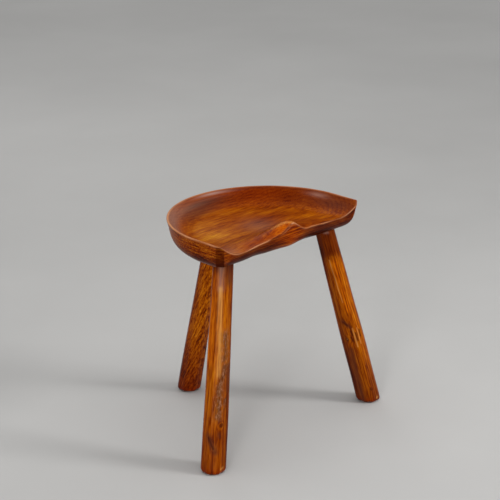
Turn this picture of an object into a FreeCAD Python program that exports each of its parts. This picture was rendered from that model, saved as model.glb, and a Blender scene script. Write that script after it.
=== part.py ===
import FreeCAD, Part
import math
import os

# Three-legged stool: a carved D-shaped seat on splayed legs held by fox-wedged blind tenons.
# Millimetres, +Z up, the seat's straight front edge towards -Y.

# Seat slab
SEAT_HEIGHT = 450.0
SEAT_THICKNESS = 55.0
SEAT_WIDTH = 403.0
SEAT_BACK_DEPTH = 198.0
SEAT_SIDE_DEPTH = 61.0
CORNER_FACET = 10.5
WALL_INSET = 26.0

# Carved top
RIM_LIP = 5.0
DISH_DEPTH = 30.0
DISH_FRONT_RISE = 6.0
POMMEL_RISE = 2.5
POMMEL_HALF_WIDTH = 23.0
POMMEL_CREST_LENGTH = 12.0
POMMEL_BACK_LENGTH = 68.0

# Legs: how far inside the rim their axes meet the seat's underside, and their spread down to the floor
LEG_TOP_DIAMETER = 38.5
LEG_FOOT_DIAMETER = 51.5
FOOT_ROUND = 10.0
FRONT_LEG_SIDE_INSET = 57.5
FRONT_LEG_FRONT_INSET = 48.5
FRONT_LEG_SIDE_SPREAD = 88.0
FRONT_LEG_FORWARD_SPREAD = 57.5
REAR_LEG_BACK_INSET = 51.0
REAR_LEG_BACK_SPREAD = 87.0

# Tenons, sockets and wedges
TENON_DIAMETER = 26.0
TENON_LENGTH = 18.0
SOCKET_CLEARANCE = 0.1
SOCKET_END_GAP = 0.5
WEDGE_LENGTH = 13.0
WEDGE_HEAD_THICKNESS = 3.2
WEDGE_TIP_THICKNESS = 0.8

# One overrun for all cuts, and how near a face counts as lying in a plane
OVERRUN = 10.0
PLANE_TOLERANCE = 0.01

# Shapes of the carved forms, as shares of the sizes above
DISH_FLOOR_share = 0.72
POMMEL_WIDENING_share = 0.6
LEG_FLAT_share = 0.96
# Down the wall: share of the thickness below the rim, then share of the inset reached there
WALL_shares = [(0.0, 0.0), (0.44, 0.21), (0.72, 0.42), (0.90, 0.68), (1.0, 1.0)]

# Counts
LEG_FLATS = 8
BACK_POINTS = 17
DISH_COLUMNS = 61
DISH_ROWS = 45

UP = FreeCAD.Vector(0, 0, 1)
GRAIN = FreeCAD.Vector(1, 0, 0)
UNDERSIDE = SEAT_HEIGHT - SEAT_THICKNESS
SEAT_FRONT_DEPTH = SEAT_SIDE_DEPTH + CORNER_FACET


def seat_outline(inset, height):
    """The D outline drawn in by an inset: curved back, straight sides, faceted front corners."""
    half_width = SEAT_WIDTH / 2 - inset
    back_depth = SEAT_BACK_DEPTH - inset
    front = inset - SEAT_FRONT_DEPTH
    facet_x = half_width - CORNER_FACET
    facet_y = front + CORNER_FACET
    turns = [math.pi * i / (BACK_POINTS - 1) for i in range(BACK_POINTS)]
    arc = [FreeCAD.Vector(half_width * math.cos(t), back_depth * math.sin(t), height) for t in turns]
    arc[0].y = 0
    arc[-1].y = 0
    back = Part.BSplineCurve()
    back.interpolate(
        Points=arc,
        InitialTangent=FreeCAD.Vector(0, 1, 0),
        FinalTangent=FreeCAD.Vector(0, -1, 0),
        Scale=False,
    )
    corners = [
        arc[-1],
        FreeCAD.Vector(-half_width, facet_y, height),
        FreeCAD.Vector(-facet_x, front, height),
        FreeCAD.Vector(facet_x, front, height),
        FreeCAD.Vector(half_width, facet_y, height),
        arc[0],
    ]
    straights = [Part.LineSegment(a, b).toShape() for a, b in zip(corners, corners[1:])]
    return Part.Wire([back.toShape()] + straights)


def pommel_share(x, y):
    """How much of the pommel's height is left standing: a ridge that widens and falls behind the front edge."""
    behind = max(y + SEAT_FRONT_DEPTH, 0)
    past_crest = max(behind - POMMEL_CREST_LENGTH, 0) / POMMEL_BACK_LENGTH
    fall = math.cos(min(past_crest, 1) * math.pi / 2) ** 2
    half_width = POMMEL_HALF_WIDTH + POMMEL_WIDENING_share * behind
    return fall / (1 + (x / half_width) ** 2)


def dish_height(x, y):
    """Height of the carved top over the floor: a flat dish, open at the front, that climbs to the rim."""
    side = abs(x) / (SEAT_WIDTH / 2 - RIM_LIP)
    back = max(y, 0) / (SEAT_BACK_DEPTH - RIM_LIP)
    reach = math.hypot(side, back)
    climb = max(reach - DISH_FLOOR_share, 0) / (1 - DISH_FLOOR_share)
    forward = max(-y, 0) / SEAT_FRONT_DEPTH
    depth = DISH_DEPTH - DISH_FRONT_RISE * min(forward, 1) ** 2
    hollow = depth * (1 - climb ** 2)
    hollow -= (hollow + POMMEL_RISE) * pommel_share(x, y)
    return SEAT_HEIGHT - hollow


def dish_tool():
    """All that lies over the carved top, as one solid to take away from the slab."""
    half_width = SEAT_WIDTH / 2 + OVERRUN
    front = -SEAT_FRONT_DEPTH - OVERRUN
    depth = SEAT_BACK_DEPTH + SEAT_FRONT_DEPTH + OVERRUN * 2
    grid = []
    for column in range(DISH_COLUMNS):
        x = half_width * (2 * column / (DISH_COLUMNS - 1) - 1)
        rows = [front + depth * row / (DISH_ROWS - 1) for row in range(DISH_ROWS)]
        grid.append([FreeCAD.Vector(x, y, dish_height(x, y)) for y in rows])
    surface = Part.BSplineSurface()
    surface.interpolate(grid)
    return surface.toShape().extrude(UP * (SEAT_THICKNESS + OVERRUN))


def rim_tool():
    """All that lies over the rim's level, apart from the pommel."""
    half_width = SEAT_WIDTH / 2 + OVERRUN
    front = -SEAT_FRONT_DEPTH - OVERRUN
    depth = SEAT_BACK_DEPTH + SEAT_FRONT_DEPTH + OVERRUN * 2
    height = POMMEL_RISE + OVERRUN
    block = Part.makeBox(half_width * 2, depth, height, FreeCAD.Vector(-half_width, front, SEAT_HEIGHT))
    reach = POMMEL_CREST_LENGTH + POMMEL_BACK_LENGTH + OVERRUN
    corner = FreeCAD.Vector(-POMMEL_HALF_WIDTH, front, SEAT_HEIGHT)
    return block.cut(Part.makeBox(POMMEL_HALF_WIDTH * 2, reach, height, corner))


class Leg:
    """One leg's axis, from its foot on the floor to its shoulder under the seat."""

    def __init__(self, foot_x, foot_y, top_x, top_y):
        self.foot = FreeCAD.Vector(foot_x, foot_y, 0)
        self.top = FreeCAD.Vector(top_x, top_y, UNDERSIDE)
        self.length = (self.top - self.foot).Length
        self.along = (self.top - self.foot) / self.length
        self.across = (GRAIN - self.along * GRAIN.dot(self.along)).normalize()
        self.sideways = self.along.cross(self.across)

    def at(self, distance):
        return self.foot + self.along * distance

    def radius(self, distance):
        taper = (LEG_TOP_DIAMETER - LEG_FOOT_DIAMETER) / 2 / self.length
        return LEG_FOOT_DIAMETER / 2 + taper * distance

    def cylinder(self, diameter, start, end):
        return Part.makeCylinder(diameter / 2, end - start, self.at(start), self.along)

    def flats(self, start, end):
        """The shaved flats as a tapered prism, a little narrower across than the round leg."""
        rings = []
        for distance in (start, end):
            corner = self.radius(distance) * LEG_FLAT_share / math.cos(math.pi / LEG_FLATS)
            ring = []
            for i in range(LEG_FLATS):
                turn = math.pi * (2 * i + 1) / LEG_FLATS
                offset = self.across * math.cos(turn) + self.sideways * math.sin(turn)
                ring.append(self.at(distance) + offset * corner)
            rings.append(Part.makePolygon(ring + ring[:1]))
        return Part.makeLoft(rings, True, True)

    def wedge_block(self):
        """The wedge's taper, as wide as the tenon, from its thin tip to its head at the tenon's end."""
        head = self.at(self.length + TENON_LENGTH)
        tip = self.at(self.length + TENON_LENGTH - WEDGE_LENGTH)
        start = self.sideways * (-TENON_DIAMETER / 2)
        corners = [
            head + self.across * (WEDGE_HEAD_THICKNESS / 2) + start,
            head - self.across * (WEDGE_HEAD_THICKNESS / 2) + start,
            tip - self.across * (WEDGE_TIP_THICKNESS / 2) + start,
            tip + self.across * (WEDGE_TIP_THICKNESS / 2) + start,
        ]
        return Part.Face(Part.makePolygon(corners + corners[:1])).extrude(self.sideways * TENON_DIAMETER)

    def wedge(self):
        root = self.length + TENON_LENGTH - WEDGE_LENGTH
        return self.wedge_block().common(self.cylinder(TENON_DIAMETER, root, self.length + TENON_LENGTH))

    def socket(self):
        bore = TENON_DIAMETER + SOCKET_CLEARANCE * 2
        return self.cylinder(bore, self.length - OVERRUN, self.length + TENON_LENGTH + SOCKET_END_GAP)

    def solid(self):
        """Tapered leg cut level at the floor and under the seat, with a round tenon split for its wedge."""
        start = -LEG_FOOT_DIAMETER
        end = self.length + LEG_TOP_DIAMETER
        span = end - start
        round_leg = Part.makeCone(self.radius(start), self.radius(end), span, self.at(start), self.along)
        corner = self.foot - FreeCAD.Vector(span, span, 0)
        leg = round_leg.common(Part.makeBox(span * 2, span * 2, UNDERSIDE, corner))
        floor_edges = [e for e in leg.Edges if e.BoundBox.ZMax < PLANE_TOLERANCE]
        leg = leg.makeFillet(FOOT_ROUND, floor_edges)
        leg = leg.common(self.flats(start, end))
        tenon = self.cylinder(TENON_DIAMETER, self.length - TENON_DIAMETER / 2, self.length + TENON_LENGTH)
        return leg.fuse(tenon).removeSplitter().cut(self.wedge_block())


def seat(legs):
    """The carved slab with a blind socket for each leg."""
    rings = [seat_outline(0, SEAT_HEIGHT + POMMEL_RISE * 2)]
    rings += [seat_outline(WALL_INSET * i, SEAT_HEIGHT - SEAT_THICKNESS * d) for d, i in WALL_shares]
    slab = Part.makeLoft(rings, True, False)
    slab = slab.cut(dish_tool()).cut(rim_tool())
    for leg in legs:
        slab = slab.cut(leg.socket())
    return slab


def build():
    """Every piece by name, with the origin on the floor under the middle of the stool's outline."""
    top_x = SEAT_WIDTH / 2 - FRONT_LEG_SIDE_INSET
    top_y = FRONT_LEG_FRONT_INSET - SEAT_FRONT_DEPTH
    foot_x = top_x + FRONT_LEG_SIDE_SPREAD
    foot_y = top_y - FRONT_LEG_FORWARD_SPREAD
    rear_y = SEAT_BACK_DEPTH - REAR_LEG_BACK_INSET
    legs = {
        "front_left": Leg(-foot_x, foot_y, -top_x, top_y),
        "front_right": Leg(foot_x, foot_y, top_x, top_y),
        "rear": Leg(0, rear_y + REAR_LEG_BACK_SPREAD, 0, rear_y),
    }
    pieces = {"seat": seat(legs.values())}
    for place, leg in legs.items():
        pieces["leg_" + place] = leg.solid()
        pieces["wedge_" + place] = leg.wedge()
    boxes = [shape.optimalBoundingBox(False) for shape in pieces.values()]
    middle = (min(b.YMin for b in boxes) + max(b.YMax for b in boxes)) / 2
    for shape in pieces.values():
        shape.translate(FreeCAD.Vector(0, -middle, 0))
    return pieces


os.makedirs("parts", exist_ok=True)
for name, shape in build().items():
    solid = shape.Solids[0]
    solid.exportStep("parts/" + name + ".step")
    box = solid.optimalBoundingBox(False)
    low = [round(v, 2) for v in (box.XMin, box.YMin, box.ZMin)]
    high = [round(v, 2) for v in (box.XMax, box.YMax, box.ZMax)]
    print(name, len(shape.Solids), solid.isValid(), round(solid.Volume), low, high)
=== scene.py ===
import math

import bpy
import numpy as np
from mathutils import Matrix, Vector


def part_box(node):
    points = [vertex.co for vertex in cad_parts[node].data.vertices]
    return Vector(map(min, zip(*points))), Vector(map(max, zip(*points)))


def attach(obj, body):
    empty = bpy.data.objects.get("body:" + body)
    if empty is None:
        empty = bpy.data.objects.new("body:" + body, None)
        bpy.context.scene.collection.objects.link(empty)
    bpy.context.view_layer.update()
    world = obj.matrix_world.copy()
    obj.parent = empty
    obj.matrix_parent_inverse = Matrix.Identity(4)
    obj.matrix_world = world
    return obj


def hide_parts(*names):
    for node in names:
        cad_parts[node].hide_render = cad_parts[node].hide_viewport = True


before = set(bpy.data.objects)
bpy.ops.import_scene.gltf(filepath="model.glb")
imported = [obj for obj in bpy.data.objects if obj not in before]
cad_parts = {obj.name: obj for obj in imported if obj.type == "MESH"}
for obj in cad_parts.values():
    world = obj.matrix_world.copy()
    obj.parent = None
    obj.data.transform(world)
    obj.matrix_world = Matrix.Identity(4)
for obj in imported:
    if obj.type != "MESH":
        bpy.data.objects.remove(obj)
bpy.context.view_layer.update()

# Looks of a carved, lacquered stool: the seat and the legs are modelled again as fine meshes around the
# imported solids. Metres, +Z up, the seat's straight front edge towards -Y. Places on the seat and the legs'
# axes are measured from the seat's widest line. A pair of numbers for a soft change says where it starts and
# where it is complete. A tint multiplies the wood's linear colour, so over 1 is lighter.

# Seat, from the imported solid's box
SEAT_LOW, SEAT_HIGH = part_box("seat")
SEAT_THICKNESS = 0.055
UNDERSIDE_Z = SEAT_LOW.z
RIM_Z = UNDERSIDE_Z + SEAT_THICKNESS
HALF_WIDTH = SEAT_HIGH.x
BACK_DEPTH = 0.198
SIDE_DEPTH = 0.061
CORNER_FACET = 0.0105
FRONT_DEPTH = SIDE_DEPTH + CORNER_FACET
MIDDLE_Y = SEAT_HIGH.y - BACK_DEPTH

# Outer wall: how far its foot is drawn in, its fall as a lean plus a late rounding, and its fuller right end
WALL_INSET = 0.026
WALL_LEAN_SHARE = 0.45
WALL_ROUND_POWER = 6
RIGHT_FULLNESS = 0.16
RIGHT_END = (0.11, 0.18)

# Carved top
RIM_LIP = 0.005
RIM_SOFT = 0.0022
RIM_SOFT_CLIMB = (0.2, 0.7)
LEAST_SOFT = 1e-6
DISH_DEPTH = 0.030
DISH_FRONT_RISE = 0.006
DISH_FLOOR_SHARE = 0.72
DISH_MIDDLE = np.array([0.0, 0.035])
POMMEL_RISE = 0.0025
POMMEL_RISE_SHARE = (0.2, 0.6)
POMMEL_HALF_WIDTH = 0.023
POMMEL_WIDENING = 0.6
POMMEL_CREST_LENGTH = 0.012
POMMEL_BACK_LENGTH = 0.068
POMMEL_NOSE_LENGTH = 0.012
POMMEL_NOSE_DROP = 0.0014
EDGE_ROUND = 0.0024

# Unevenness of the hand carving along the front edge: place, half width and height of each soft swell
FRONT_SWELLS = [(-0.132, 0.030, -0.0046), (-0.046, 0.016, 0.0014), (0.040, 0.015, -0.0030)]
FRONT_SWELL_REACH = 0.050
# The same along the foot of the front wall: place, half width and how much farther it is drawn in
FRONT_FOOT_SWELLS = [(-0.092, 0.026, 0.0045), (0.010, 0.028, -0.0045), (0.074, 0.030, 0.0035)]
# Shallow unevenness of all carved faces, which starts at the edge and is whole at a distance from it
CARVING_SEED = 11
CARVING_DEPTH = 0.0005
CARVING_SIZE = 0.022
CARVING_START = 0.01

# Points round the seat's outline, and its rings from the underside over the wall and the edge to the top
BACK_POINTS = 420
SIDE_POINTS = 60
FACET_POINTS = 14
FRONT_POINTS = 300
UNDERSIDE_SHARES = (0.02, 0.25, 0.5, 0.75, 0.9, 0.97)
WALL_START_SHARE = 0.02
WALL_RINGS = 34
EDGE_RINGS = 8
TOP_RINGS = 62
FIRST_WALL_RING = len(UNDERSIDE_SHARES)
FIRST_EDGE_RING = FIRST_WALL_RING + WALL_RINGS
FIRST_TOP_RING = FIRST_EDGE_RING + EDGE_RINGS // 2
# How the top's rings crowd towards the edge, and the rounds in which the edge's height settles
TOP_CROWDING = 1.25
SETTLING_ROUNDS = 30

# Legs: where their axes meet the floor and the seat's underside
LEGS = {
    "leg_front_left": ((-0.232, -0.0805), (-0.144, -0.023)),
    "leg_front_right": ((0.232, -0.0805), (0.144, -0.023)),
    "leg_rear": ((0.0, 0.234), (0.0, 0.147)),
}
LEG_TOP_RADIUS = 0.01925
LEG_FOOT_RADIUS = 0.02575
LEG_FLATS = 8
LEG_FLAT_SHARE = 0.960
LEG_FLAT_SOFT = 0.012
FOOT_ROUND = 0.010
# How much fuller than its solid each leg was left by hand, over its foot and at the seat, and the height
# at which that is reached
LEG_FULLNESS = {
    "leg_front_left": (0.0013, 0.0013),
    "leg_front_right": (0.0014, 0.0014),
    "leg_rear": (0.0012, -0.0018),
}
LEG_FULL_HEIGHT = 0.150
# Slight waviness of the legs' surfaces, drawn out along them, on a circle that stands for the leg's round
LEG_WAVE_SEED = 31
LEG_WAVE = 0.0004
LEG_WAVE_SIZE = 0.012
LEG_WAVE_STRETCH = 0.35
LEG_CIRCLE = 0.02
SCAR_DENT = 0.0007
DARK_DENT = 0.0004
# Points round a leg and its rings: under the sole, over the foot's rounding and along the leg
LEG_POINTS = 144
SOLE_SHARES = (0.1, 0.5, 0.9)
FOOT_RINGS = 12
LEG_RINGS = 230

# Wear of the seat's edges with a painted highlight along them, by distance from the edge: on the rim's lip,
# on the wall and along the front edge
LIP_WEAR_AND_HIGHLIGHT = (0.0034, 0.0058)
WALL_WEAR_AND_HIGHLIGHT_WIDTH = 0.0022
FRONT_WEAR_AND_HIGHLIGHT_WIDTH = 0.0024
# Where the front edge's wear and highlight is wider: place, half width and how much
FRONT_WIDENINGS = [(-0.168, 0.018, 0.0034), (0.172, 0.020, 0.0012)]
# Wear and highlight along the front edge, more or less than even: place, half width and change
FRONT_WEAR_AND_HIGHLIGHT = [
    (-0.132, 0.018, -0.50),
    (0.010, 0.010, 0.30),
    (0.045, 0.022, -0.58),
    (0.080, 0.012, -0.50),
    (0.128, 0.018, -0.58),
    (0.178, 0.018, 0.50),
]
# How far behind the front edge its own wear and highlight ends and the rim's begins
FRONT_EDGE_ZONE = (0.006, 0.030)
RIM_ZONE = (0.006, 0.040)
WEAR_AND_HIGHLIGHT_SEED = 5
WEAR_AND_HIGHLIGHT_LEVEL = 0.85
WEAR_AND_HIGHLIGHT_PATCHINESS = 0.30
WEAR_AND_HIGHLIGHT_PATCH_SIZE = 0.012
# Less wear and highlight towards the far right of the rim, along x + y, and on the corner facets
FAR_RIM = (-0.02, 0.12)
FAR_RIM_LOSS = 0.25
FACET_WEAR_AND_HIGHLIGHT_LOSS = 0.3
# The pommel's rounded nose, where the front edge has little of the wear and highlight
NOSE_START = (-0.068, -0.054)
NOSE_END = (-0.007, -0.001)
NOSE_WEAR_AND_HIGHLIGHT_LOSS = 0.85
# The scratch along the nose, and the painted highlight on the ridge under it
SCRATCH_PLACE = -0.014
SCRATCH_HALF_LENGTH = 0.013
SCRATCH_WIDTH = 0.0017
SCRATCH_DARKNESS = 0.9
SCRATCH_RIDGE_GAP = 0.0052
SCRATCH_RIDGE_WIDTH = 0.0013
SCRATCH_RIDGE_HIGHLIGHT = 0.45
# Dark line inside the rim's lip, on the right
LIP_LINE_START = (0.02, 0.09)
LIP_LINE_GAP = 0.0074
LIP_LINE_WIDTH = 0.0018
LIP_LINE_DARKNESS = 0.40
# Painted highlight along the pommel's shoulder, in plan
POMMEL_CREST = ((-0.026, -0.039), (0.003, -0.069))
POMMEL_CREST_WIDTH = 0.0046
POMMEL_CREST_HIGHLIGHT = 0.7

# Tones of the dish's walls: turn in degrees about its middle and reach towards the rim, half widths,
# tint, and painted sheen, a pale reflection mixed into the colour. The tints darken the back and the upper
# left and right walls, partly as painted shade
WALL_PATCHES = [
    ((50, 0.95), (44, 0.17), (0.66, 0.42, 0.3), 0.0),
    ((25, 0.88), (16, 0.10), (0.70, 0.60, 0.6), 0.0),
    ((84, 0.915), (17, 0.05), (0.64, 0.58, 0.55), 0.0),
    ((84, 0.952), (14, 0.010), (1.0, 1.0, 1.0), 0.10),
    ((98, 0.93), (18, 0.025), (0.50, 0.52, 0.9), 0.08),
    ((102, 0.86), (22, 0.08), (0.46, 0.42, 0.6), 0.06),
    ((80, 0.985), (12, 0.009), (1.0, 1.0, 1.0), 0.95),
    ((140, 0.97), (32, 0.07), (0.66, 0.74, 1.0), 0.44),
    ((-6, 0.92), (18, 0.08), (0.50, 0.41, 0.45), 0.06),
    ((10, 0.968), (7, 0.020), (1.0, 1.0, 1.0), 0.44),
]
# Tones of the seat's floor: middle and half widths in plan, tint and painted sheen. The tints are partly the
# wood's tone and partly painted light, brighter on the pommel's left flank and nose
FLOOR_PATCHES = [
    ((0.010, 0.030), (0.040, 0.040), (0.85, 0.92, 1.0), 0.18),
    ((-0.030, 0.000), (0.110, 0.060), (1.02, 1.14, 1.0), 0.0),
    ((-0.085, -0.050), (0.035, 0.020), (0.92, 0.72, 0.5), 0.0),
    ((-0.085, 0.050), (0.050, 0.062), (1.36, 1.78, 1.4), 0.06),
    ((0.135, 0.000), (0.035, 0.030), (1.15, 1.22, 0.8), 0.0),
    ((-0.143, -0.040), (0.018, 0.026), (1.04, 1.08, 1.0), 0.24),
    ((-0.028, -0.058), (0.028, 0.018), (1.25, 1.08, 0.4), 0.0),
    ((-0.012, -0.060), (0.014, 0.016), (1.35, 1.45, 1.0), 0.0),
]
# Painted light: a brighter, golden band where the dish's floor turns up into its wall
PAINTED_LIGHT_BAND_REACH = 0.66
PAINTED_LIGHT_BAND_HALF_WIDTH = 0.17
PAINTED_LIGHT_BAND_TINT = (1.17, 1.42, 0.8)
# How strongly the figure shows on the top and on the outer wall, and where the top is calmer: on the dish's
# walls, by reach, and about one place on the left of the front
TOP_FIGURE = 0.80
OUTER_FIGURE = 1.4
DISH_WALL_REACH = (0.70, 0.90)
DISH_WALL_CALM = 0.34
CALM_PLACE = (-0.105, -0.045)
CALM_HALF_WIDTHS = (0.050, 0.030)
CALM_LOSS = 0.30
# The outer wall shows the grain drawn out along its ends
WALL_GRAIN_SHARE = 0.45

# Tones of the outer wall, by drop below the rim: painted shade on its bevel near the underside, which faces
# down, and a darker patch beside the left facet
BEVEL_DROP = (0.022, 0.044)
BEVEL_PAINTED_SHADE = (0.40, 0.30, 0.3)
BESIDE_FACET_DROP = (0.016, 0.028)
BESIDE_FACET_HALF_WIDTHS = (0.016, 0.013)
BESIDE_FACET_TINT = (0.50, 0.34, 0.4)
# The front between its ends, and where its foot stays lit: under the pommel and towards both ends
FRONT_END = (0.182, 0.188)
LIT_POMMEL_PLACE = 0.010
LIT_POMMEL_WIDTH = 0.030
LIT_POMMEL_SHARE = 0.85
LIT_RIGHT = (0.10, 0.15)
LIT_RIGHT_SHARE = 0.55
LIT_LEFT = (0.160, 0.172)
LIT_LEFT_SHARE = 0.80
# Painted shade: the front's dark band under its left end's edge
LEFT_BAND_PLACE = -0.178
LEFT_BAND_HALF_LENGTH = 0.016
LEFT_BAND_GAP = 0.0055
LEFT_BAND_WIDTH = 0.004
LEFT_BAND_PAINTED_SHADE = (0.80, 0.68, 0.6)
# The front under the pommel, with its painted light, and the thin front to its left and right with the shares
# of its painted shade
POMMEL_FRONT_WIDTH = 0.040
POMMEL_FRONT_PAINTED_LIGHT = (1.20, 1.02, 0.4)
THIN_LEFT = (-0.160, -0.125)
THIN_LEFT_SHARE = 0.65
THIN_RIGHT = (0.0, 0.06)
THIN_RIGHT_SHARE = 0.18
THIN_FRONT_PAINTED_SHADE = (0.40, 0.23, 0.15)
# The corner facets are darker, more so lower down
FACET_DARK_SEED = 7
FACET_DARK_LEVEL = 0.58
FACET_DARK_LOW_LEVEL = 0.28
FACET_DARK_LOW_DROP = (0.014, 0.028)
FACET_DARK_PATCHINESS = 0.12
FACET_DARK_PATCH_SIZE = 0.003
# Widths over which the facets and the straight front fade into their neighbours
FACET_SOFT = 0.002
FRONT_SOFT = 0.001

# How the wood was cut for each leg: slant of the fibres, the tree's pith beside the leg's axis, and how
# quickly the figure changes along the leg
LEG_GRAIN = {
    "leg_front_left": (0.02, (0.034, 0.020), 1.0),
    "leg_front_right": (-0.015, (-0.040, 0.016), 1.0),
    "leg_rear": (-0.24, (0.300, 0.0), 3.0),
}
# How strongly each leg's figure shows
LEG_FIGURE = {"leg_front_left": 1.0, "leg_front_right": 1.0, "leg_rear": 1.40}
# Tones of the legs: darker under the seat with a ragged edge, partly stain and partly painted shadow of the
# seat, at the foot and the sole, and painted light and shade along their sides by turn and half width in
# degrees
LEG_TOP_EDGE = {"leg_front_left": 0.385, "leg_front_right": 0.334, "leg_rear": 0.380}
LEG_TOP_SOFT = 0.014
LEG_TOP_RAGGED = 0.004
LEG_TOP_STAIN_AND_SHADOW = (0.37, 0.23, 0.25)
LEG_FOOT_START = 0.010
LEG_FOOT_EDGE = {"leg_front_left": 0.200, "leg_front_right": 0.200, "leg_rear": 0.205}
LEG_FOOT_TINT = {
    "leg_front_left": (0.68, 0.55, 0.5),
    "leg_front_right": (0.60, 0.47, 0.45),
    "leg_rear": (0.54, 0.32, 0.3),
}
LEG_SOLE = (0.007, 0.018)
LEG_SOLE_TINT = (0.94, 0.64, 0.45)
LEG_SIDE_PAINTED_LIGHT_AND_SHADE = {
    "leg_front_left": [(275, 30, (0.42, 0.30, 0.4)), (100, 16, (0.80, 0.70, 0.7))],
    "leg_front_right": [(2, 48, (0.42, 0.28, 0.3)), (128, 34, (1.14, 1.20, 0.9))],
    "leg_rear": [(240, 36, (0.58, 0.40, 0.4))],
}
LEG_PATCH_SEED = 21
LEG_PATCH_SIZE = 0.004
# Marks in the wood, among them painted highlights, glints and light: kind, start and end as height and turn
# in degrees from the inward side, half width.
# A mark that ends where it starts is a spot, measured as a line of the least length
LEG_MARKS = {
    "leg_front_left": [
        # The pale glint under the seat, the golden stripe below it and the golden glint on the foot are
        # painted highlights; the light mark is painted light on the leg's left flank
        ("pale", (0.400, 181), (0.352, 183), 0.0060),
        ("painted_highlight", (0.352, 183), (0.190, 194), 0.0046),
        ("light", (0.375, 140), (0.215, 140), 0.0110),
        ("scar", (0.264, 222), (0.196, 226), 0.0090),
        ("scar", (0.192, 220), (0.172, 204), 0.0070),
        ("scar", (0.168, 202), (0.112, 203), 0.0080),
        ("bruise", (0.205, 252), (0.160, 250), 0.0056),
        ("scar", (0.142, 235), (0.126, 230), 0.0034),
        ("ring", (0.096, 219), (0.096, 219), 0.0042),
        ("dark", (0.096, 219), (0.096, 219), 0.0014),
        ("dark", (0.073, 163), (0.052, 186), 0.0016),
        ("bruise", (0.081, 209), (0.074, 214), 0.0030),
        ("bruise", (0.076, 160), (0.046, 196), 0.0062),
        ("bruise", (0.390, 226), (0.366, 232), 0.0110),
        ("painted_highlight", (0.012, 229), (0.013, 238), 0.0022),
        ("shade", (0.020, 142), (0.000, 150), 0.0090),
    ],
    "leg_front_right": [
        # The golden dashes by the knot, the golden streak high up, the golden glint on the foot and the pale
        # spot under the seat are painted glints
        ("shade", (0.194, 44), (0.180, 74), 0.0078),
        ("bruise", (0.192, 54), (0.179, 78), 0.0040),
        ("dark", (0.189, 54), (0.183, 68), 0.0024),
        ("dark", (0.170, 78), (0.160, 82), 0.0022),
        ("dark", (0.156, 72), (0.147, 78), 0.0022),
        ("dark", (0.166, 100), (0.148, 103), 0.0017),
        ("dark", (0.171, 127), (0.156, 124), 0.0017),
        ("painted_highlight", (0.176, 90), (0.134, 94), 0.0011),
        ("painted_highlight", (0.176, 113), (0.140, 114), 0.0011),
        ("painted_highlight", (0.152, 52), (0.150, 53), 0.0014),
        ("painted_highlight", (0.330, 62), (0.235, 76), 0.0009),
        ("light", (0.328, 84), (0.215, 92), 0.0046),
        ("shade", (0.060, 136), (0.000, 132), 0.0130),
        ("ring", (0.150, 50), (0.150, 50), 0.0036),
        ("bruise", (0.128, 60), (-0.010, 52), 0.0052),
        ("ring", (0.034, 105), (0.034, 105), 0.0036),
        ("painted_highlight", (0.010, 124), (0.012, 132), 0.0022),
        ("pale", (0.391, 74), (0.391, 92), 0.0030),
    ],
    "leg_rear": [],
}
# What each kind of mark does: some tint the wood, the others add to one of the wood's values at a strength
MARK_TINTS = {"light": (1.35, 1.30, 1.0), "shade": (0.76, 0.68, 0.7)}
# The pale marks are painted highlights, mixed in as painted sheen
MARK_VALUES = {
    "pale": ("painted_sheen", 0.4),
    "painted_highlight": ("painted_highlight", 1.0),
    "bruise": ("bruise", 1.0),
    "scar": ("scar", 1.0),
    "ring": ("dark", 1.0),
    "dark": ("dark", 1.0),
}
SCAR_LEVEL = 0.95
SCAR_PATCHINESS = 0.5
# A ring lies inside its mark's width, and the growth rings bend round rings and dark marks, over so many
# widths of the mark
MARK_RING_PLACE = 0.7
MARK_RING_WIDTH = 0.35
MARK_BEND = 0.004
MARK_BEND_WIDTHS = {"ring": 2.2, "dark": 2.5}
LEAST_LENGTH = 1e-6

# Wood: its tones from dark to light as sRGB, and how its colour, gloss and relief follow its figure. The
# noises' stretches are along, across and beside the grain
SEAT_TONES = [
    (0.10, (60, 13, 0)),
    (0.35, (115, 37, 0)),
    (0.55, (152, 66, 0)),
    (0.75, (176, 94, 8)),
    (0.95, (200, 122, 32)),
]
LEG_TONES = [
    (0.10, (72, 20, 0)),
    (0.35, (130, 50, 0)),
    (0.55, (172, 86, 2)),
    (0.75, (198, 112, 10)),
    (0.95, (218, 140, 34)),
]
MIDDLE_TONE = 0.5
RING_DRIFT = (3.0, 15.0, 15.0)
RING_DRIFT_DEPTH = 0.016
RING_DRIFT_DETAIL = 2.0
RING_FLUTTER = (9.0, 90.0, 90.0)
RING_FLUTTER_DEPTH = 0.0022
# Share of dark late wood from one growth ring to the next, and its mean
RING_PROFILE = [(0.0, 0.35), (0.12, 0.0), (0.5, 0.12), (0.86, 1.0), (0.94, 0.9), (1.0, 0.35)]
RING_MEAN = 0.4
# Painted sheen: a pale reflection mixed into the colour, broken up along the streaks
PAINTED_SHEEN_COLOUR = (176, 138, 124)
PAINTED_SHEEN_LEVEL = 0.55
PAINTED_SHEEN_STREAK = 0.9
# Painted highlights and glints, broken up along the streaks
PAINTED_HIGHLIGHT_COLOUR = (226, 162, 84)
PAINTED_HIGHLIGHT_BY_STREAK = [(0.36, 0.15), (0.60, 0.70)]
SPECKLE = (150.0, 340.0, 340.0)
SCAR_BY_SPECKLE = [(0.34, 0.50), (0.50, 1.0)]
SCAR_TONES = [(0.36, (54, 28, 18)), (0.54, (118, 73, 46)), (0.72, (164, 116, 86))]
SCAR_STRENGTH = 0.95
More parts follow.
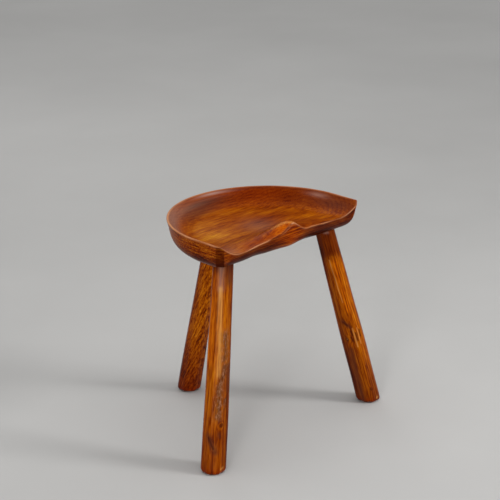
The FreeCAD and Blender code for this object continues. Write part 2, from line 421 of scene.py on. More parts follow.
# Stains, dark marks and edge wear with its painted highlight over the rest: the value that places them, their
# strength and their colour
STAINS_AND_HIGHLIGHTS = [
    ("bruise", 0.75, (84, 38, 24)),
    ("dark", 0.85, (62, 17, 5)),
    # Edge wear with a painted highlight along the edges
    ("wear_and_highlight", 0.85, (212, 148, 104)),
]
ROUGHNESS = 0.20
ROUGH_BLOTCH = 0.16
ROUGH_FIBRE = 0.10
ROUGH_SCAR = 0.25
ROUGH_DARK = 0.25
RELIEF_LATE = -0.25
RELIEF_FIBRE = 0.35
RELIEF_STREAK = 0.5
RELIEF_SCAR = -0.6
RELIEF_DEPTH = 0.0005
RELIEF_STRENGTH = 0.55
LACQUER_TINT = (1.0, 0.62, 0.36, 1.0)

# Bare hardwood of the hidden wedges
WEDGE_FIBRE = (900.0, 900.0, 60.0)
WEDGE_TONES = [(0.3, (120, 82, 46)), (0.7, (168, 124, 78))]
WEDGE_ROUGHNESS = 0.5
WEDGE_ROUGH_FIBRE = 0.2
WEDGE_RELIEF_DEPTH = 0.0003
WEDGE_RELIEF_STRENGTH = 0.5

# Pale floor
FLOOR_SIZE = 60
FLOOR_CLOUD = (1.5, 1.5, 1.5)
FLOOR_TONES = [(0.3, (190, 189, 187)), (0.7, (196, 195, 193))]
FLOOR_ROUGHNESS = 0.85
FLOOR_GLOSS = 0.2
FINE_DETAIL = 4.0

# Camera fitted to the photograph's frame, about the seat's widest line
FRAME_PIXELS = 500
FOCAL_PIXELS = 1613.0
SENSOR_MM = 36.0
EYE = Vector((-2.1859, -2.1058, 1.4631))
VIEW_TURN = math.radians(-45.43)
VIEW_TILT = math.radians(19.69)

# Lamps: place, aim, size, spread in degrees and power
LAMPS = {
    "key": ((1.5, -2.3, 1.9), (0, 0, 0.3), 0.7, 90, 10.4),
    "back": ((1.3, 2.4, 2.0), (0, 0, 0.4), 1.2, 180, 7),
    "window": ((-3.5, -2.15, 1.2), (0, 0, 0.3), 1.0, 60, 8.2),
}
SKY_STRENGTH = 1.75
SKY_ANGLE = math.radians(80)
WORLD_COLOUR = (0.95, 0.98, 1.0, 1)
WORLD_STRENGTH = 0.06

# Waves that make up the unevenness of the carving and the wear
RIPPLE_WAVES = 14
RIPPLE_SCALE = 5


def ripple(points, seed, size):
    """Smooth, repeatable unevenness between about -1 and 1, with humps of about a size."""
    random = np.random.default_rng(seed)
    waves = random.normal(size=(RIPPLE_WAVES, 3)) / size
    phases = random.uniform(0, 2 * math.pi, RIPPLE_WAVES)
    return np.sin(points @ waves.T + phases).sum(axis=-1) / RIPPLE_SCALE


def bell(distance, width):
    """1 at no distance, falling smoothly to nothing beyond about two widths."""
    return np.exp(-(distance / width) ** 2)


def step(value, start, end):
    """0 before a start, 1 after an end, smooth between them."""
    share = np.clip((value - start) / (end - start), 0, 1)
    return share * share * (3 - 2 * share)


def soft_min(a, b, width):
    """The lower of two heights, with the corner between them rounded over a width."""
    blend = np.clip(0.5 + (b - a) / (2 * width), 0, 1)
    return b + (a - b) * blend - width * blend * (1 - blend)


def line_distance(x, y, start, end):
    """How far points are from the line between two places."""
    run_x, run_y = end[0] - start[0], end[1] - start[1]
    share = ((x - start[0]) * run_x + (y - start[1]) * run_y) / (run_x ** 2 + run_y ** 2)
    share = np.clip(share, 0, 1)
    return np.hypot(x - start[0] - share * run_x, y - start[1] - share * run_y)


def tinted(share, shade):
    """A tint at each point: none where a share is 0, the whole shade where it is 1."""
    return 1 + share[..., None] * (np.array(shade) - 1)


def skin(name, rings, low_pole, high_pole, material, values):
    """One closed mesh from rings of equal counts and a pole at each end, with named values at its points."""
    ring_count, count = rings.shape[:2]
    vertices = np.concatenate([rings.reshape(-1, 3), [low_pole], [high_pole]])
    faces = []
    for ring in range(ring_count - 1):
        a, b = ring * count, (ring + 1) * count
        faces += [(a + i, a + (i + 1) % count, b + (i + 1) % count, b + i) for i in range(count)]
    low, high = ring_count * count, ring_count * count + 1
    last = (ring_count - 1) * count
    faces += [((i + 1) % count, i, low) for i in range(count)]
    faces += [(last + i, last + (i + 1) % count, high) for i in range(count)]
    mesh = bpy.data.meshes.new(name)
    mesh.from_pydata(vertices.tolist(), [], faces)
    for value_name, ring_values in values.items():
        flat = ring_values.reshape(ring_count * count, -1)
        full = np.concatenate([flat, flat[:1], flat[-1:]]).astype(np.float32)
        wide = full.shape[1] == 3
        layer = mesh.attributes.new(value_name, "FLOAT_VECTOR" if wide else "FLOAT", "POINT")
        layer.data.foreach_set("vector" if wide else "value", full.ravel())
    mesh.update()
    mesh.shade_smooth()
    mesh.materials.append(material)
    piece = bpy.data.objects.new(name, mesh)
    bpy.context.scene.collection.objects.link(piece)
    return piece


def pommel_share(x, y):
    """How much of the pommel's height is left standing: a ridge that runs back from the front edge."""
    behind = np.maximum(y + FRONT_DEPTH, 0)
    fall_share = np.clip((behind - POMMEL_CREST_LENGTH) / POMMEL_BACK_LENGTH, 0, 1)
    width = POMMEL_HALF_WIDTH + POMMEL_WIDENING * behind
    return np.cos(fall_share * math.pi / 2) ** 2 / (1 + (x / width) ** 2)


def dish_reach(x, y):
    """How far out towards the rim a place is: 0 in the dish's middle, 1 at the rim."""
    return np.hypot(x / (HALF_WIDTH - RIM_LIP), np.maximum(y, 0) / (BACK_DEPTH - RIM_LIP))


def dish_climb(x, y):
    """How far up the dish's wall a place is: 0 on the floor, 1 at the rim."""
    return np.maximum(dish_reach(x, y) - DISH_FLOOR_SHARE, 0) / (1 - DISH_FLOOR_SHARE)


def top_height(x, y):
    """Height of the carved top: a dish that climbs to the rim, open at the front, with its pommel."""
    forward = np.clip(-y / FRONT_DEPTH, 0, 1)
    depth = DISH_DEPTH - DISH_FRONT_RISE * forward ** 2
    hollow = depth * (1 - dish_climb(x, y) ** 2)
    pommel = pommel_share(x, y)
    nose = np.clip(1 - (y + FRONT_DEPTH) / POMMEL_NOSE_LENGTH, 0, 1) ** 2
    hollow = hollow - (hollow + POMMEL_RISE) * pommel + POMMEL_NOSE_DROP * nose * pommel
    for place, width, height in FRONT_SWELLS:
        hollow = hollow - height * bell(x - place, width) * bell(y + FRONT_DEPTH, FRONT_SWELL_REACH)
    softness = RIM_SOFT * step(dish_climb(x, y), *RIM_SOFT_CLIMB) + LEAST_SOFT
    ceiling = RIM_Z + POMMEL_RISE * step(pommel, *POMMEL_RISE_SHARE)
    return soft_min(RIM_Z - hollow, ceiling, softness)


def outline():
    """The D outline: each place's point at the rim, and how an inset of the wall moves it."""
    back = np.linspace(0, math.pi, BACK_POINTS, endpoint=False)
    points = [np.stack([HALF_WIDTH * np.cos(back), BACK_DEPTH * np.sin(back)], -1)]
    moves = [np.stack([-np.cos(back), -np.sin(back)], -1)]
    facet_x = HALF_WIDTH - CORNER_FACET
    corners = [
        ((-HALF_WIDTH, 0), (1, 0), SIDE_POINTS),
        ((-HALF_WIDTH, -SIDE_DEPTH), (1, 1), FACET_POINTS),
        ((-facet_x, -FRONT_DEPTH), (1, 1), FRONT_POINTS),
        ((facet_x, -FRONT_DEPTH), (-1, 1), FACET_POINTS),
        ((HALF_WIDTH, -SIDE_DEPTH), (-1, 1), SIDE_POINTS),
        ((HALF_WIDTH, 0), (-1, 0), 0),
    ]
    for (start, start_move, count), (end, end_move, _) in zip(corners, corners[1:]):
        share = np.linspace(0, 1, count, endpoint=False)[:, None]
        points.append(np.array(start) + share * (np.array(end) - np.array(start)))
        moves.append(np.array(start_move) + share * (np.array(end_move) - np.array(start_move)))
    return np.concatenate(points), np.concatenate(moves)


OUTLINE, OUTLINE_MOVE = outline()
FACET_PLACE = HALF_WIDTH + SIDE_DEPTH
ON_FACET = step(np.abs(OUTLINE[:, 0]) - OUTLINE[:, 1], FACET_PLACE - FACET_SOFT, FACET_PLACE)
ON_FRONT = 1 - step(OUTLINE[:, 1] + FRONT_DEPTH, 0.0, FRONT_SOFT)


def wall_point(z):
    """Points of the outer wall at one height for each place of the outline."""
    drop = np.maximum(RIM_Z - z, 0) / SEAT_THICKNESS
    lean = WALL_LEAN_SHARE - RIGHT_FULLNESS * step(OUTLINE[:, 0], *RIGHT_END)
    inset = WALL_INSET * (lean * drop + (1 - lean) * drop ** WALL_ROUND_POWER)
    for place, width, change in FRONT_FOOT_SWELLS:
        inset = inset + ON_FRONT * change * bell(OUTLINE[:, 0] - place, width) * drop ** 2
    flat = OUTLINE + OUTLINE_MOVE * inset[:, None]
    return np.concatenate([flat, z[:, None]], axis=1)


def seat_rings():
    """Rings from the underside's middle, up the wall and over the edge, to the dish's middle, with the
    distance of each point from the edge."""
    count = len(OUTLINE)
    edge_z = np.full(count, RIM_Z)
    for _ in range(SETTLING_ROUNDS):
        edge = wall_point(edge_z)
        edge_z = top_height(edge[:, 0], edge[:, 1])
    edge = wall_point(edge_z)
    inward = DISH_MIDDLE - edge[:, :2]
    reach = np.linalg.norm(inward, axis=1)
    inward = inward / reach[:, None]

    def top_point(distance):
        flat = edge[:, :2] + inward * distance[:, None]
        return np.concatenate([flat, top_height(flat[:, 0], flat[:, 1])[:, None]], axis=1)

    foot = wall_point(np.full(count, UNDERSIDE_Z))
    rings = []
    gaps = []
    for share in UNDERSIDE_SHARES:
        flat = DISH_MIDDLE + (foot[:, :2] - DISH_MIDDLE) * share
        rings.append(np.concatenate([flat, foot[:, 2:]], axis=1))
        gaps.append(np.full(count, SEAT_THICKNESS))
    wall_top = edge_z - EDGE_ROUND
    for share in np.linspace(WALL_START_SHARE, 1, WALL_RINGS):
        z = UNDERSIDE_Z + (wall_top - UNDERSIDE_Z) * share
        rings.append(wall_point(z))
        gaps.append(edge_z - z)
    low = rings[-1]
    high = top_point(np.full(count, EDGE_ROUND))
    for t in np.linspace(0, 1, EDGE_RINGS + 1)[1:]:
        rings.append(low * (1 - t) ** 2 + edge * 2 * t * (1 - t) + high * t ** 2)
        gaps.append(np.full(count, EDGE_ROUND * abs(2 * t - 1)))
    for share in np.linspace(0, 1, TOP_RINGS + 2)[1:-1]:
        distance = EDGE_ROUND + (reach - EDGE_ROUND) * share ** TOP_CROWDING
        rings.append(top_point(distance))
        gaps.append(distance)
    return np.array(rings), np.array(gaps)


def edge_wear_and_highlight(rings, gaps, on_top, at_front, at_rim):
    """How much edge wear and painted highlight each point along the rim and the front edge shows."""
    x, y = rings[..., 0], rings[..., 1]
    front_width = FRONT_WEAR_AND_HIGHLIGHT_WIDTH
    for place, width, change in FRONT_WIDENINGS:
        front_width = front_width + change * bell(x - place, width)
    on_lip = at_rim * (1 - step(gaps, *LIP_WEAR_AND_HIGHLIGHT)) + (1 - at_rim) * bell(gaps, front_width)
    wear_and_highlight = np.where(on_top > 0, on_lip, bell(gaps, WALL_WEAR_AND_HIGHLIGHT_WIDTH))
    wear_and_highlight = wear_and_highlight * np.clip(WEAR_AND_HIGHLIGHT_LEVEL + WEAR_AND_HIGHLIGHT_PATCHINESS * ripple(rings, WEAR_AND_HIGHLIGHT_SEED, WEAR_AND_HIGHLIGHT_PATCH_SIZE), 0, 1)
    wear_and_highlight = wear_and_highlight * (1 - FAR_RIM_LOSS * step(x + y, *FAR_RIM))
    for place, width, change in FRONT_WEAR_AND_HIGHLIGHT:
        wear_and_highlight = wear_and_highlight * (1 + change * at_front * bell(x - place, width))
    on_nose = at_front * step(x, *NOSE_START) * (1 - step(x, *NOSE_END))
    return np.clip(wear_and_highlight, 0, 1) * (1 - FACET_WEAR_AND_HIGHLIGHT_LOSS * ON_FACET) * (1 - NOSE_WEAR_AND_HIGHLIGHT_LOSS * on_nose)


def top_tones(x, y, on_top):
    """Tint of the dish at each point, partly painted light and shade, and its share of painted sheen."""
    reach = dish_reach(x, y)
    turn = (np.degrees(np.arctan2(y, x)) + 90) % 360 - 90
    # Painted light in a golden band round the dish's floor
    tint = tinted(on_top * bell(reach - PAINTED_LIGHT_BAND_REACH, PAINTED_LIGHT_BAND_HALF_WIDTH), PAINTED_LIGHT_BAND_TINT)
    painted_sheen = np.zeros_like(x)
    for first, second, patches in ((turn, reach, WALL_PATCHES), (x, y, FLOOR_PATCHES)):
        for middle, half, shade, painted_sheen_share in patches:
            share = on_top * bell(first - middle[0], half[0]) * bell(second - middle[1], half[1])
            tint = tint * tinted(share, shade)
            painted_sheen = painted_sheen + painted_sheen_share * share
    return tint, painted_sheen


def wall_tones(rings, gaps, on_wall):
    """Tint of the outer wall at each point: painted shade on its bevel and on the thin front, a darker patch
    beside its left corner, and painted light on the front under the pommel.
    """
    x, y = rings[..., 0], rings[..., 1]
    drop = RIM_Z - rings[..., 2]
    foot_y = FRONT_DEPTH - WALL_INSET
    on_front = on_wall * step(-y, foot_y - FRONT_SOFT, foot_y) * (1 - ON_FACET)
    on_front = on_front * (1 - step(np.abs(x), *FRONT_END))
    lit_pommel = LIT_POMMEL_SHARE * bell(x - LIT_POMMEL_PLACE, LIT_POMMEL_WIDTH)
    lit_ends = LIT_RIGHT_SHARE * step(x, *LIT_RIGHT) + LIT_LEFT_SHARE * step(-x, *LIT_LEFT)
    lit_front = on_front * np.maximum(lit_pommel, lit_ends)
    # Painted shade on the bevel, left out where the front's foot stays lit
    tint = tinted(on_wall * step(drop, *BEVEL_DROP) * (1 - lit_front), BEVEL_PAINTED_SHADE)
    beside_x, beside_y = BESIDE_FACET_HALF_WIDTHS
    beside_facet = bell(x + HALF_WIDTH, beside_x) * bell(y + SIDE_DEPTH, beside_y) * (1 - ON_FACET)
    tint = tint * tinted(on_wall * beside_facet * step(drop, *BESIDE_FACET_DROP), BESIDE_FACET_TINT)
    # Painted shade in a band under the left end's edge
    left_band = bell(gaps - LEFT_BAND_GAP, LEFT_BAND_WIDTH) * bell(x - LEFT_BAND_PLACE, LEFT_BAND_HALF_LENGTH)
    tint = tint * tinted(on_front * left_band, LEFT_BAND_PAINTED_SHADE)
    # Painted shade on the thin front and painted light on the front under the pommel
    pommel_front = bell(x, POMMEL_FRONT_WIDTH)
    thin = THIN_LEFT_SHARE * step(x, *THIN_LEFT) + THIN_RIGHT_SHARE * step(x, *THIN_RIGHT)
    tint = tint * tinted(on_front * (1 - pommel_front) * thin, THIN_FRONT_PAINTED_SHADE)
    return tint * tinted(on_front * pommel_front, POMMEL_FRONT_PAINTED_LIGHT)


def facet_darkening(rings, on_wall):
    """How much darker the corner facets are at each point."""
    low_darkening = FACET_DARK_LOW_LEVEL * step(RIM_Z - rings[..., 2], *FACET_DARK_LOW_DROP)
    patchy = FACET_DARK_PATCHINESS * ripple(rings, FACET_DARK_SEED, FACET_DARK_PATCH_SIZE)
    return np.clip(on_wall * ON_FACET * (FACET_DARK_LEVEL + low_darkening + patchy), 0, 1)


def seat_values(rings, gaps):
    """What the seat's wood shows at each point: its fibres, tone, painted light, shade and sheen, edge wear
    with its painted highlight, and darker facets.
    """
    x, y = rings[..., 0], rings[..., 1]
    on_top = np.zeros_like(x)
    on_top[FIRST_TOP_RING:] = 1
    on_wall = 1 - on_top
    at_front = 1 - step(y + FRONT_DEPTH, *FRONT_EDGE_ZONE)
    at_rim = step(y + FRONT_DEPTH, *RIM_ZONE)
    scratch = at_front * bell(x - SCRATCH_PLACE, SCRATCH_HALF_LENGTH)
    # Painted highlight on the ridge under the scratch
    ridge = scratch * on_wall * bell(gaps - SCRATCH_RIDGE_GAP, SCRATCH_RIDGE_WIDTH)
    wear_and_highlight = np.maximum(edge_wear_and_highlight(rings, gaps, on_top, at_front, at_rim), SCRATCH_RIDGE_HIGHLIGHT * ridge)
    lip_line = on_top * at_rim * step(x, *LIP_LINE_START) * bell(gaps - LIP_LINE_GAP, LIP_LINE_WIDTH)
    bruise = SCRATCH_DARKNESS * scratch * bell(gaps, SCRATCH_WIDTH) + LIP_LINE_DARKNESS * lip_line
    # Painted highlight along the pommel's crest
    crest_highlight = on_top * bell(line_distance(x, y, *POMMEL_CREST), POMMEL_CREST_WIDTH)
    tint, painted_sheen = top_tones(x, y, on_top)
    grain = rings.copy()
    grain[..., 1] *= 1 - (1 - WALL_GRAIN_SHARE) * on_wall
    calm = bell(x - CALM_PLACE[0], CALM_HALF_WIDTHS[0]) * bell(y - CALM_PLACE[1], CALM_HALF_WIDTHS[1])
    top_figure = TOP_FIGURE - DISH_WALL_CALM * step(dish_reach(x, y), *DISH_WALL_REACH) - CALM_LOSS * calm
    return {
        "grain": grain,
        "bend": np.zeros_like(x),
        "wear_and_highlight": wear_and_highlight,
        "tint": tint * wall_tones(rings, gaps, on_wall),
        "painted_sheen": painted_sheen,
        "dark": facet_darkening(rings, on_wall),
        "scar": np.zeros_like(x),
        "bruise": np.clip(bruise, 0, 1),
        "figure": top_figure * on_top + OUTER_FIGURE * on_wall,
        "painted_highlight": POMMEL_CREST_HIGHLIGHT * crest_highlight,
    }


def make_seat(material):
    """The carved seat: the shaped rings, with the shallow unevenness of hand carving cut into them."""
    rings, gaps = seat_rings()
    values = seat_values(rings, gaps)
    carved = np.clip(gaps / CARVING_START, 0, 1) * CARVING_DEPTH
    hollow = carved * (1 + ripple(rings, CARVING_SEED, CARVING_SIZE))
    shaped = rings.copy()
    shaped[FIRST_TOP_RING:, :, 2] -= hollow[FIRST_TOP_RING:]
    wall = slice(FIRST_WALL_RING, FIRST_EDGE_RING)
    shaped[wall, :, :2] += OUTLINE_MOVE[None] * hollow[wall, :, None]
    shaped[..., 1] += MIDDLE_Y
    floor_z = shaped[-1, :, 2].mean()
    low = [DISH_MIDDLE[0], DISH_MIDDLE[1] + MIDDLE_Y, UNDERSIDE_Z]
    high = [DISH_MIDDLE[0], DISH_MIDDLE[1] + MIDDLE_Y, floor_z]
    piece = skin("carved_seat", shaped, low, high, material, values)
    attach(piece, "root")
    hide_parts("seat")


def degrees_from(turn, middle):
    """Turns in radians as degrees to either side of a middle turn in degrees."""
    return (np.degrees(turn) - middle + 180) % 360 - 180


def mark_distance(z, turn, radius, start, end):
    """How far points on a leg are from a mark's line, measured over the leg's unrolled surface."""
    px = np.radians(degrees_from(turn, start[1])) * radius
    pz = z - start[0]
    line_x = math.radians(end[1] - start[1]) * radius
    line_z = end[0] - start[0]
    square = np.maximum(line_x ** 2 + line_z ** 2, LEAST_LENGTH ** 2)
    share = np.clip((px * line_x + pz * line_z) / square, 0, 1)
    return np.hypot(px - share * line_x, pz - share * line_z)


def leg_values(node, z, turn, radius, places):
    """What a leg's wood shows at each point: fibres and their bends, stains, painted shadow under the seat,
    painted light and shade on its sides, painted highlights, scars and dark marks.
    """
    slant, pith, quickness = LEG_GRAIN[node]
    across = radius * np.cos(turn) - pith[0] + slant * z
    beside = radius * np.sin(turn) - pith[1]
    patchy = ripple(places, LEG_PATCH_SEED, LEG_PATCH_SIZE)
    values = {name: np.zeros_like(z) for name in ("bend", "wear_and_highlight", "painted_sheen", "painted_highlight", "dark", "scar", "bruise")}
    # Darker under the seat: partly stain, partly painted shadow of the seat
    edge = LEG_TOP_EDGE[node] + LEG_TOP_RAGGED * patchy
    tint = tinted(step(z, edge - LEG_TOP_SOFT, edge + LEG_TOP_SOFT), LEG_TOP_STAIN_AND_SHADOW)
    tint = tint * tinted(1 - step(z, LEG_FOOT_START, LEG_FOOT_EDGE[node]), LEG_FOOT_TINT[node])
    tint = tint * tinted(1 - step(z, *LEG_SOLE), LEG_SOLE_TINT)
    # Painted light and shade along the leg's sides
    for middle, half_turn, shade in LEG_SIDE_PAINTED_LIGHT_AND_SHADE[node]:
        tint = tint * tinted(bell(degrees_from(turn, middle), half_turn), shade)
    for kind, start, end, width in LEG_MARKS[node]:
        distance = mark_distance(z, turn, radius, start, end)
        mask = bell(distance, width)
        if kind in MARK_TINTS:
            tint = tint * tinted(mask, MARK_TINTS[kind])
            continue
        if kind == "scar":
            mask = mask * np.clip(SCAR_LEVEL + SCAR_PATCHINESS * patchy, 0, 1)
        if kind == "ring":
            mask = bell(distance - width * MARK_RING_PLACE, width * MARK_RING_WIDTH)
        if kind in MARK_BEND_WIDTHS:
            values["bend"] = values["bend"] + MARK_BEND * bell(distance, width * MARK_BEND_WIDTHS[kind])
        value_name, strength = MARK_VALUES[kind]
        values[value_name] = np.maximum(values[value_name], strength * mask)
    values["tint"] = tint
    values["figure"] = np.full_like(z, LEG_FIGURE[node])
    values["grain"] = np.stack([z * quickness, across, beside], axis=-1)
    return values


def flats_share(facing):
    """How much of a leg's radius is left where its soft flats are shaved, by the way a point faces."""
    half_flat = math.pi / LEG_FLATS
    from_flat = (facing + half_flat) % (2 * half_flat) - half_flat
    return soft_min(LEG_FLAT_SHARE / np.cos(from_flat), np.ones_like(from_flat), LEG_FLAT_SOFT)


def make_leg(node, foot, top, material):
    """One leg: a tapering round with soft flats, rounded at the foot and cut level under the seat."""
    foot = np.array([foot[0], foot[1] + MIDDLE_Y, 0.0])
    top = np.array([top[0], top[1] + MIDDLE_Y, UNDERSIDE_Z])
    lean = (top - foot)[:2] / UNDERSIDE_Z
    stretch = math.hypot(1, math.hypot(*lean))
    along = lean / math.hypot(*lean)
    beside = np.array([-along[1], along[0]])
    turns = np.linspace(0, 2 * math.pi, LEG_POINTS, endpoint=False)
    flat = flats_share(turns + math.atan2(along[1], along[0]))
    sole = np.zeros(len(SOLE_SHARES))
    rounding = FOOT_ROUND * (1 - np.cos(np.linspace(0, math.pi / 2, FOOT_RINGS)))
    heights = np.concatenate([sole, rounding, np.linspace(FOOT_ROUND, UNDERSIDE_Z, LEG_RINGS)[1:]])
    shares = np.ones_like(heights)
    shares[:len(SOLE_SHARES)] = SOLE_SHARES
    z, turn = np.meshgrid(heights, turns, indexing="ij")
    low_fullness, high_fullness = LEG_FULLNESS[node]
    fullness = low_fullness + (high_fullness - low_fullness) * z / UNDERSIDE_Z
    solid_radius = LEG_FOOT_RADIUS + (LEG_TOP_RADIUS - LEG_FOOT_RADIUS) * z / UNDERSIDE_Z
    radius = solid_radius + fullness * step(z, 0.0, LEG_FULL_HEIGHT)
    tuck = FOOT_ROUND - np.sqrt(np.maximum(FOOT_ROUND ** 2 - np.maximum(FOOT_ROUND - z, 0) ** 2, 0))
    circle_x, circle_y = np.cos(turn) * LEG_CIRCLE, np.sin(turn) * LEG_CIRCLE
    wavy = np.stack([circle_x, circle_y, z * LEG_WAVE_STRETCH], axis=-1)
    uneven = LEG_WAVE * ripple(wavy + foot, LEG_WAVE_SEED, LEG_WAVE_SIZE)
    places = np.stack([circle_x, circle_y, z], axis=-1)
    values = leg_values(node, z, turn, solid_radius - LEG_WAVE, places)
    dents = np.maximum(values["scar"] * SCAR_DENT, values["dark"] * DARK_DENT)
    reach = (radius * flat[None] + uneven - tuck - dents) * shares[:, None]
    forward = (reach * np.cos(turn) * stretch)[..., None] * along
    sideways = (reach * np.sin(turn))[..., None] * beside
    flat_xy = foot[:2] + z[..., None] * lean + forward + sideways
    rings = np.concatenate([flat_xy, z[..., None]], axis=-1)
    piece = skin(node + "_shaved", rings, foot.tolist(), top.tolist(), material, values)
    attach(piece, "root")
    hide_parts(node)


def linear(colour):
    """An sRGB colour, 0 to 255, as the linear colour that a shader takes."""
    share = np.array(colour) / 255
    return (*np.where(share <= 0.04045, share / 12.92, ((share + 0.055) / 1.055) ** 2.4).tolist(), 1.0)


def linear_stops(tones):
    """A ramp's stops from places and sRGB colours."""
    return [(place, linear(colour)) for place, colour in tones]


class Nodes:
    """Short calls that build one material's nodes."""

    # The Mix node's colour sockets, which share their names with its sockets for numbers
    MIX_FIRST = 6
    MIX_SECOND = 7
    MIX_RESULT = 2

    def __init__(self, name):
        self.material = bpy.data.materials.new(name)
        self.material.use_nodes = True
        self.tree = self.material.node_tree
        self.shader = self.tree.nodes["Principled BSDF"]

    def feed(self, socket, value):
        """Links a value to a socket, or sets it there if it is a constant."""
        if isinstance(value, bpy.types.NodeSocket):
            self.tree.links.new(value, socket)
        else:
            socket.default_value = value

    def surface(self, **values):
        """Feeds the shader's sockets, which are named with _ for a space."""
        for name, value in values.items():
            self.feed(self.shader.inputs[name.replace("_", " ")], value)

    def attribute(self, name, output="Fac"):
        node = self.tree.nodes.new("ShaderNodeAttribute")
        node.attribute_name = name
        return node.outputs[output]

    def place(self):
        return self.tree.nodes.new("ShaderNodeTexCoord").outputs["Object"]

    def math(self, operation, *values):
        node = self.tree.nodes.new("ShaderNodeMath")
        node.operation = operation
        for socket, value in zip(node.inputs, values):
            self.feed(socket, value)
        return node.outputs[0]

    def sum(self, *terms):
        """Adds up pairs of a value and its weight, and plain values."""
        total = 0.0
        for term in terms:
            if isinstance(term, tuple):
                total = self.math("MULTIPLY_ADD", term[0], term[1], total)
            else:
                total = self.math("ADD", total, term)
        return total

    def noise(self, vector, stretch, detail=3.0, roughness=0.55):
        scaled = self.tree.nodes.new("ShaderNodeVectorMath")
        scaled.operation = "MULTIPLY"
        self.feed(scaled.inputs[0], vector)
        self.feed(scaled.inputs[1], stretch)
        node = self.tree.nodes.new("ShaderNodeTexNoise")
        self.feed(node.inputs["Vector"], scaled.outputs[0])
        self.feed(node.inputs["Scale"], 1.0)
        self.feed(node.inputs["Detail"], detail)
        self.feed(node.inputs["Roughness"], roughness)
        return node.outputs["Fac"]

    def split(self, vector):
        node = self.tree.nodes.new("ShaderNodeSeparateXYZ")
        self.feed(node.inputs[0], vector)
        return node.outputs

    def ramp(self, share, stops):
        """A value or colour that changes along a share through the stops."""
        node = self.tree.nodes.new("ShaderNodeValToRGB")
        self.feed(node.inputs[0], share)
        elements = node.color_ramp.elements
        while len(elements) < len(stops):
            elements.new(1.0)
        for element, (place, colour) in zip(elements, stops):
            element.position = place
            element.color = colour if isinstance(colour, tuple) else (colour, colour, colour, 1.0)
        return node.outputs[0]

    def mix(self, share, first, second, blend="MIX"):
        node = self.tree.nodes.new("ShaderNodeMix")
        node.data_type = "RGBA"
        node.blend_type = blend
        self.feed(node.inputs["Factor"], share)
        self.feed(node.inputs[self.MIX_FIRST], first)
        self.feed(node.inputs[self.MIX_SECOND], second)
        return node.outputs[self.MIX_RESULT]

    def bump(self, height, distance, strength):
        node = self.tree.nodes.new("ShaderNodeBump")
        self.feed(node.inputs["Height"], height)
        self.feed(node.inputs["Distance"], distance)
        self.feed(node.inputs["Strength"], strength)
        return node.outputs[0]


def late_wood(n, grain, pith, ring_width):
    """Share of dark late wood: growth rings about a pith, which wander and bend round the marks."""
    _, across, beside = n.split(grain)
    drift = n.noise(grain, RING_DRIFT, RING_DRIFT_DETAIL)
    flutter = n.noise(grain, RING_FLUTTER)
    across_pith = n.math("SUBTRACT", across, pith[0])
    beside_pith = n.math("SUBTRACT", beside, pith[1])
    square = n.math("ADD", n.math("POWER", across_pith, 2.0), n.math("POWER", beside_pith, 2.0))
    radius = n.sum(
        (drift, RING_DRIFT_DEPTH),
        (flutter, RING_FLUTTER_DEPTH),
        n.math("SQRT", square),
        n.attribute("bend"),
    )
    return n.ramp(n.math("FRACT", n.math("DIVIDE", radius, ring_width)), RING_PROFILE)


def wood(name, tones, pith, ring_width, ring_depth, streak, fibre, blotch, ior):
    """Lacquered wood: growth rings, streaks, fibres and blotches, each of the last three as a noise's stretch
    and its depth, with the stains, wear, scars and dark marks, and the painted light, shade, sheen and
    highlights, that the mesh's values place."""
    n = Nodes(name)
    grain = n.attribute("grain", "Vector")
    figure = n.attribute("figure")
    late = late_wood(n, grain, pith, ring_width)
    tone = n.sum((late, -ring_depth), MIDDLE_TONE + ring_depth * RING_MEAN)
    noises = []
    for stretch, depth in (streak, fibre, blotch):
        noises.append(n.noise(grain, stretch))
        uneven = n.sum((noises[-1], depth), -depth / 2)
        tone = n.sum(tone, (uneven, figure))
    streaks, fibres, blotches = noises
    colour = n.mix(1.0, n.ramp(tone, linear_stops(tones)), n.attribute("tint", "Vector"), "MULTIPLY")
    # Painted sheen: a pale reflection mixed into the colour
    painted_sheen = n.math("MULTIPLY", n.attribute("painted_sheen"), n.sum((streaks, PAINTED_SHEEN_STREAK), PAINTED_SHEEN_LEVEL))
    colour = n.mix(painted_sheen, colour, linear(PAINTED_SHEEN_COLOUR))
    # Painted highlights and glints
    painted_highlight = n.math("MULTIPLY", n.attribute("painted_highlight"), n.ramp(streaks, PAINTED_HIGHLIGHT_BY_STREAK))
    colour = n.mix(painted_highlight, colour, linear(PAINTED_HIGHLIGHT_COLOUR))
    speckle = n.noise(grain, SPECKLE)
    scar = n.math("MULTIPLY", n.attribute("scar"), n.ramp(speckle, SCAR_BY_SPECKLE))
    scar_colour = n.ramp(speckle, linear_stops(SCAR_TONES))
    colour = n.mix(n.math("MULTIPLY", scar, SCAR_STRENGTH), colour, scar_colour)
    # Stains and dark marks, and the edge wear with its painted highlight
    for value_name, strength, overlay_colour in STAINS_AND_HIGHLIGHTS:
        colour = n.mix(n.math("MULTIPLY", n.attribute(value_name), strength), colour, linear(overlay_colour))
    roughness = n.sum(
        (blotches, ROUGH_BLOTCH),
        (fibres, ROUGH_FIBRE),
        (scar, ROUGH_SCAR),
        (n.attribute("dark"), ROUGH_DARK),
        ROUGHNESS,
    )
    relief = n.sum(
        (late, RELIEF_LATE),
        (fibres, RELIEF_FIBRE),
        (streaks, RELIEF_STREAK),
        (scar, RELIEF_SCAR),
    )
    n.surface(
        Base_Color=colour,
        Roughness=roughness,
        Normal=n.bump(relief, RELIEF_DEPTH, RELIEF_STRENGTH),
        IOR=ior,
        Specular_Tint=LACQUER_TINT,
    )
    return n.material


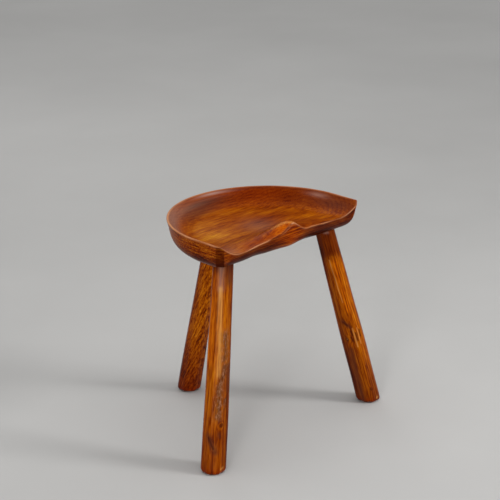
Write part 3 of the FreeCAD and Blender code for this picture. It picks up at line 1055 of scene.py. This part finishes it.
def bare_wood(name):
    """Plain pale hardwood for the hidden wedges, with its fibres along the wedge."""
    n = Nodes(name)
    fibres = n.noise(n.place(), WEDGE_FIBRE, FINE_DETAIL)
    n.surface(
        Base_Color=n.ramp(fibres, linear_stops(WEDGE_TONES)),
        Roughness=n.sum((fibres, WEDGE_ROUGH_FIBRE), WEDGE_ROUGHNESS),
        Normal=n.bump(fibres, WEDGE_RELIEF_DEPTH, WEDGE_RELIEF_STRENGTH),
    )
    return n.material


def floor_material():
    """Pale matt floor with a faint unevenness."""
    n = Nodes("pale_floor")
    cloud = n.noise(n.place(), FLOOR_CLOUD, FINE_DETAIL)
    n.surface(
        Base_Color=n.ramp(cloud, linear_stops(FLOOR_TONES)),
        Roughness=FLOOR_ROUGHNESS,
        Specular_IOR_Level=FLOOR_GLOSS,
    )
    return n.material


def dress_wedges():
    """The hidden wedges keep their solids and get their wood."""
    material = bare_wood("wedge_wood")
    for node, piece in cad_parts.items():
        if node.startswith("wedge"):
            piece.data.materials.clear()
            piece.data.materials.append(material)


def make_stage():
    """The floor and the faint light of the room."""
    bpy.ops.mesh.primitive_plane_add(size=FLOOR_SIZE, location=(0, 0, 0))
    floor = bpy.context.object
    floor.name = "floor"
    floor.data.materials.append(floor_material())
    world = bpy.data.worlds.new("studio")
    bpy.context.scene.world = world
    world.use_nodes = True
    background = world.node_tree.nodes["Background"]
    background.inputs["Color"].default_value = WORLD_COLOUR
    background.inputs["Strength"].default_value = WORLD_STRENGTH


def make_lamp(name, place, aim, size, spread, power):
    """One square soft light that the camera doesn't see."""
    data = bpy.data.lights.new(name, "AREA")
    data.energy = power
    data.shape = "SQUARE"
    data.size = size
    data.spread = math.radians(spread)
    lamp = bpy.data.objects.new(name, data)
    bpy.context.scene.collection.objects.link(lamp)
    lamp.location = place
    lamp.rotation_euler = (Vector(aim) - Vector(place)).to_track_quat("-Z", "Y").to_euler()
    lamp.visible_camera = False


def make_sky():
    """One even, very soft light from above."""
    data = bpy.data.lights.new("sky", "SUN")
    data.energy = SKY_STRENGTH
    data.angle = SKY_ANGLE
    bpy.context.scene.collection.objects.link(bpy.data.objects.new("sky", data))


def make_camera():
    """The camera at the photograph's viewing angle."""
    data = bpy.data.cameras.new("camera")
    data.sensor_width = SENSOR_MM
    data.lens = FOCAL_PIXELS * SENSOR_MM / FRAME_PIXELS
    camera = bpy.data.objects.new("camera", data)
    bpy.context.scene.collection.objects.link(camera)
    back = Vector((
        math.sin(VIEW_TURN) * math.cos(VIEW_TILT),
        -math.cos(VIEW_TURN) * math.cos(VIEW_TILT),
        math.sin(VIEW_TILT),
    ))
    right = Vector((math.cos(VIEW_TURN), math.sin(VIEW_TURN), 0))
    up = back.cross(right)
    turn = Matrix((right, up, back)).transposed().to_4x4()
    camera.matrix_world = Matrix.Translation(EYE + Vector((0, MIDDLE_Y, 0))) @ turn
    bpy.context.scene.camera = camera


seat_wood = wood(
    "seat_wood",
    SEAT_TONES,
    pith=(0.045, 0.30),
    ring_width=0.0065,
    ring_depth=0.08,
    streak=((7.0, 50.0, 420.0), 0.75),
    fibre=((44.0, 440.0, 520.0), 0.95),
    blotch=((14.0, 30.0, 40.0), 0.45),
    ior=1.10,
)
leg_wood = wood(
    "leg_wood",
    LEG_TONES,
    pith=(0.0, 0.0),
    ring_width=0.0055,
    ring_depth=0.18,
    streak=((3.0, 190.0, 190.0), 0.75),
    fibre=((42.0, 430.0, 430.0), 0.85),
    blotch=((9.0, 24.0, 24.0), 0.40),
    ior=1.2,
)
make_seat(seat_wood)
for node, (foot, top) in LEGS.items():
    make_leg(node, foot, top, leg_wood)
dress_wedges()
make_stage()
make_sky()
for name, (place, aim, size, spread, power) in LAMPS.items():
    make_lamp(name, place, aim, size, spread, power)
make_camera()
bpy.context.scene.view_settings.view_transform = "Standard"
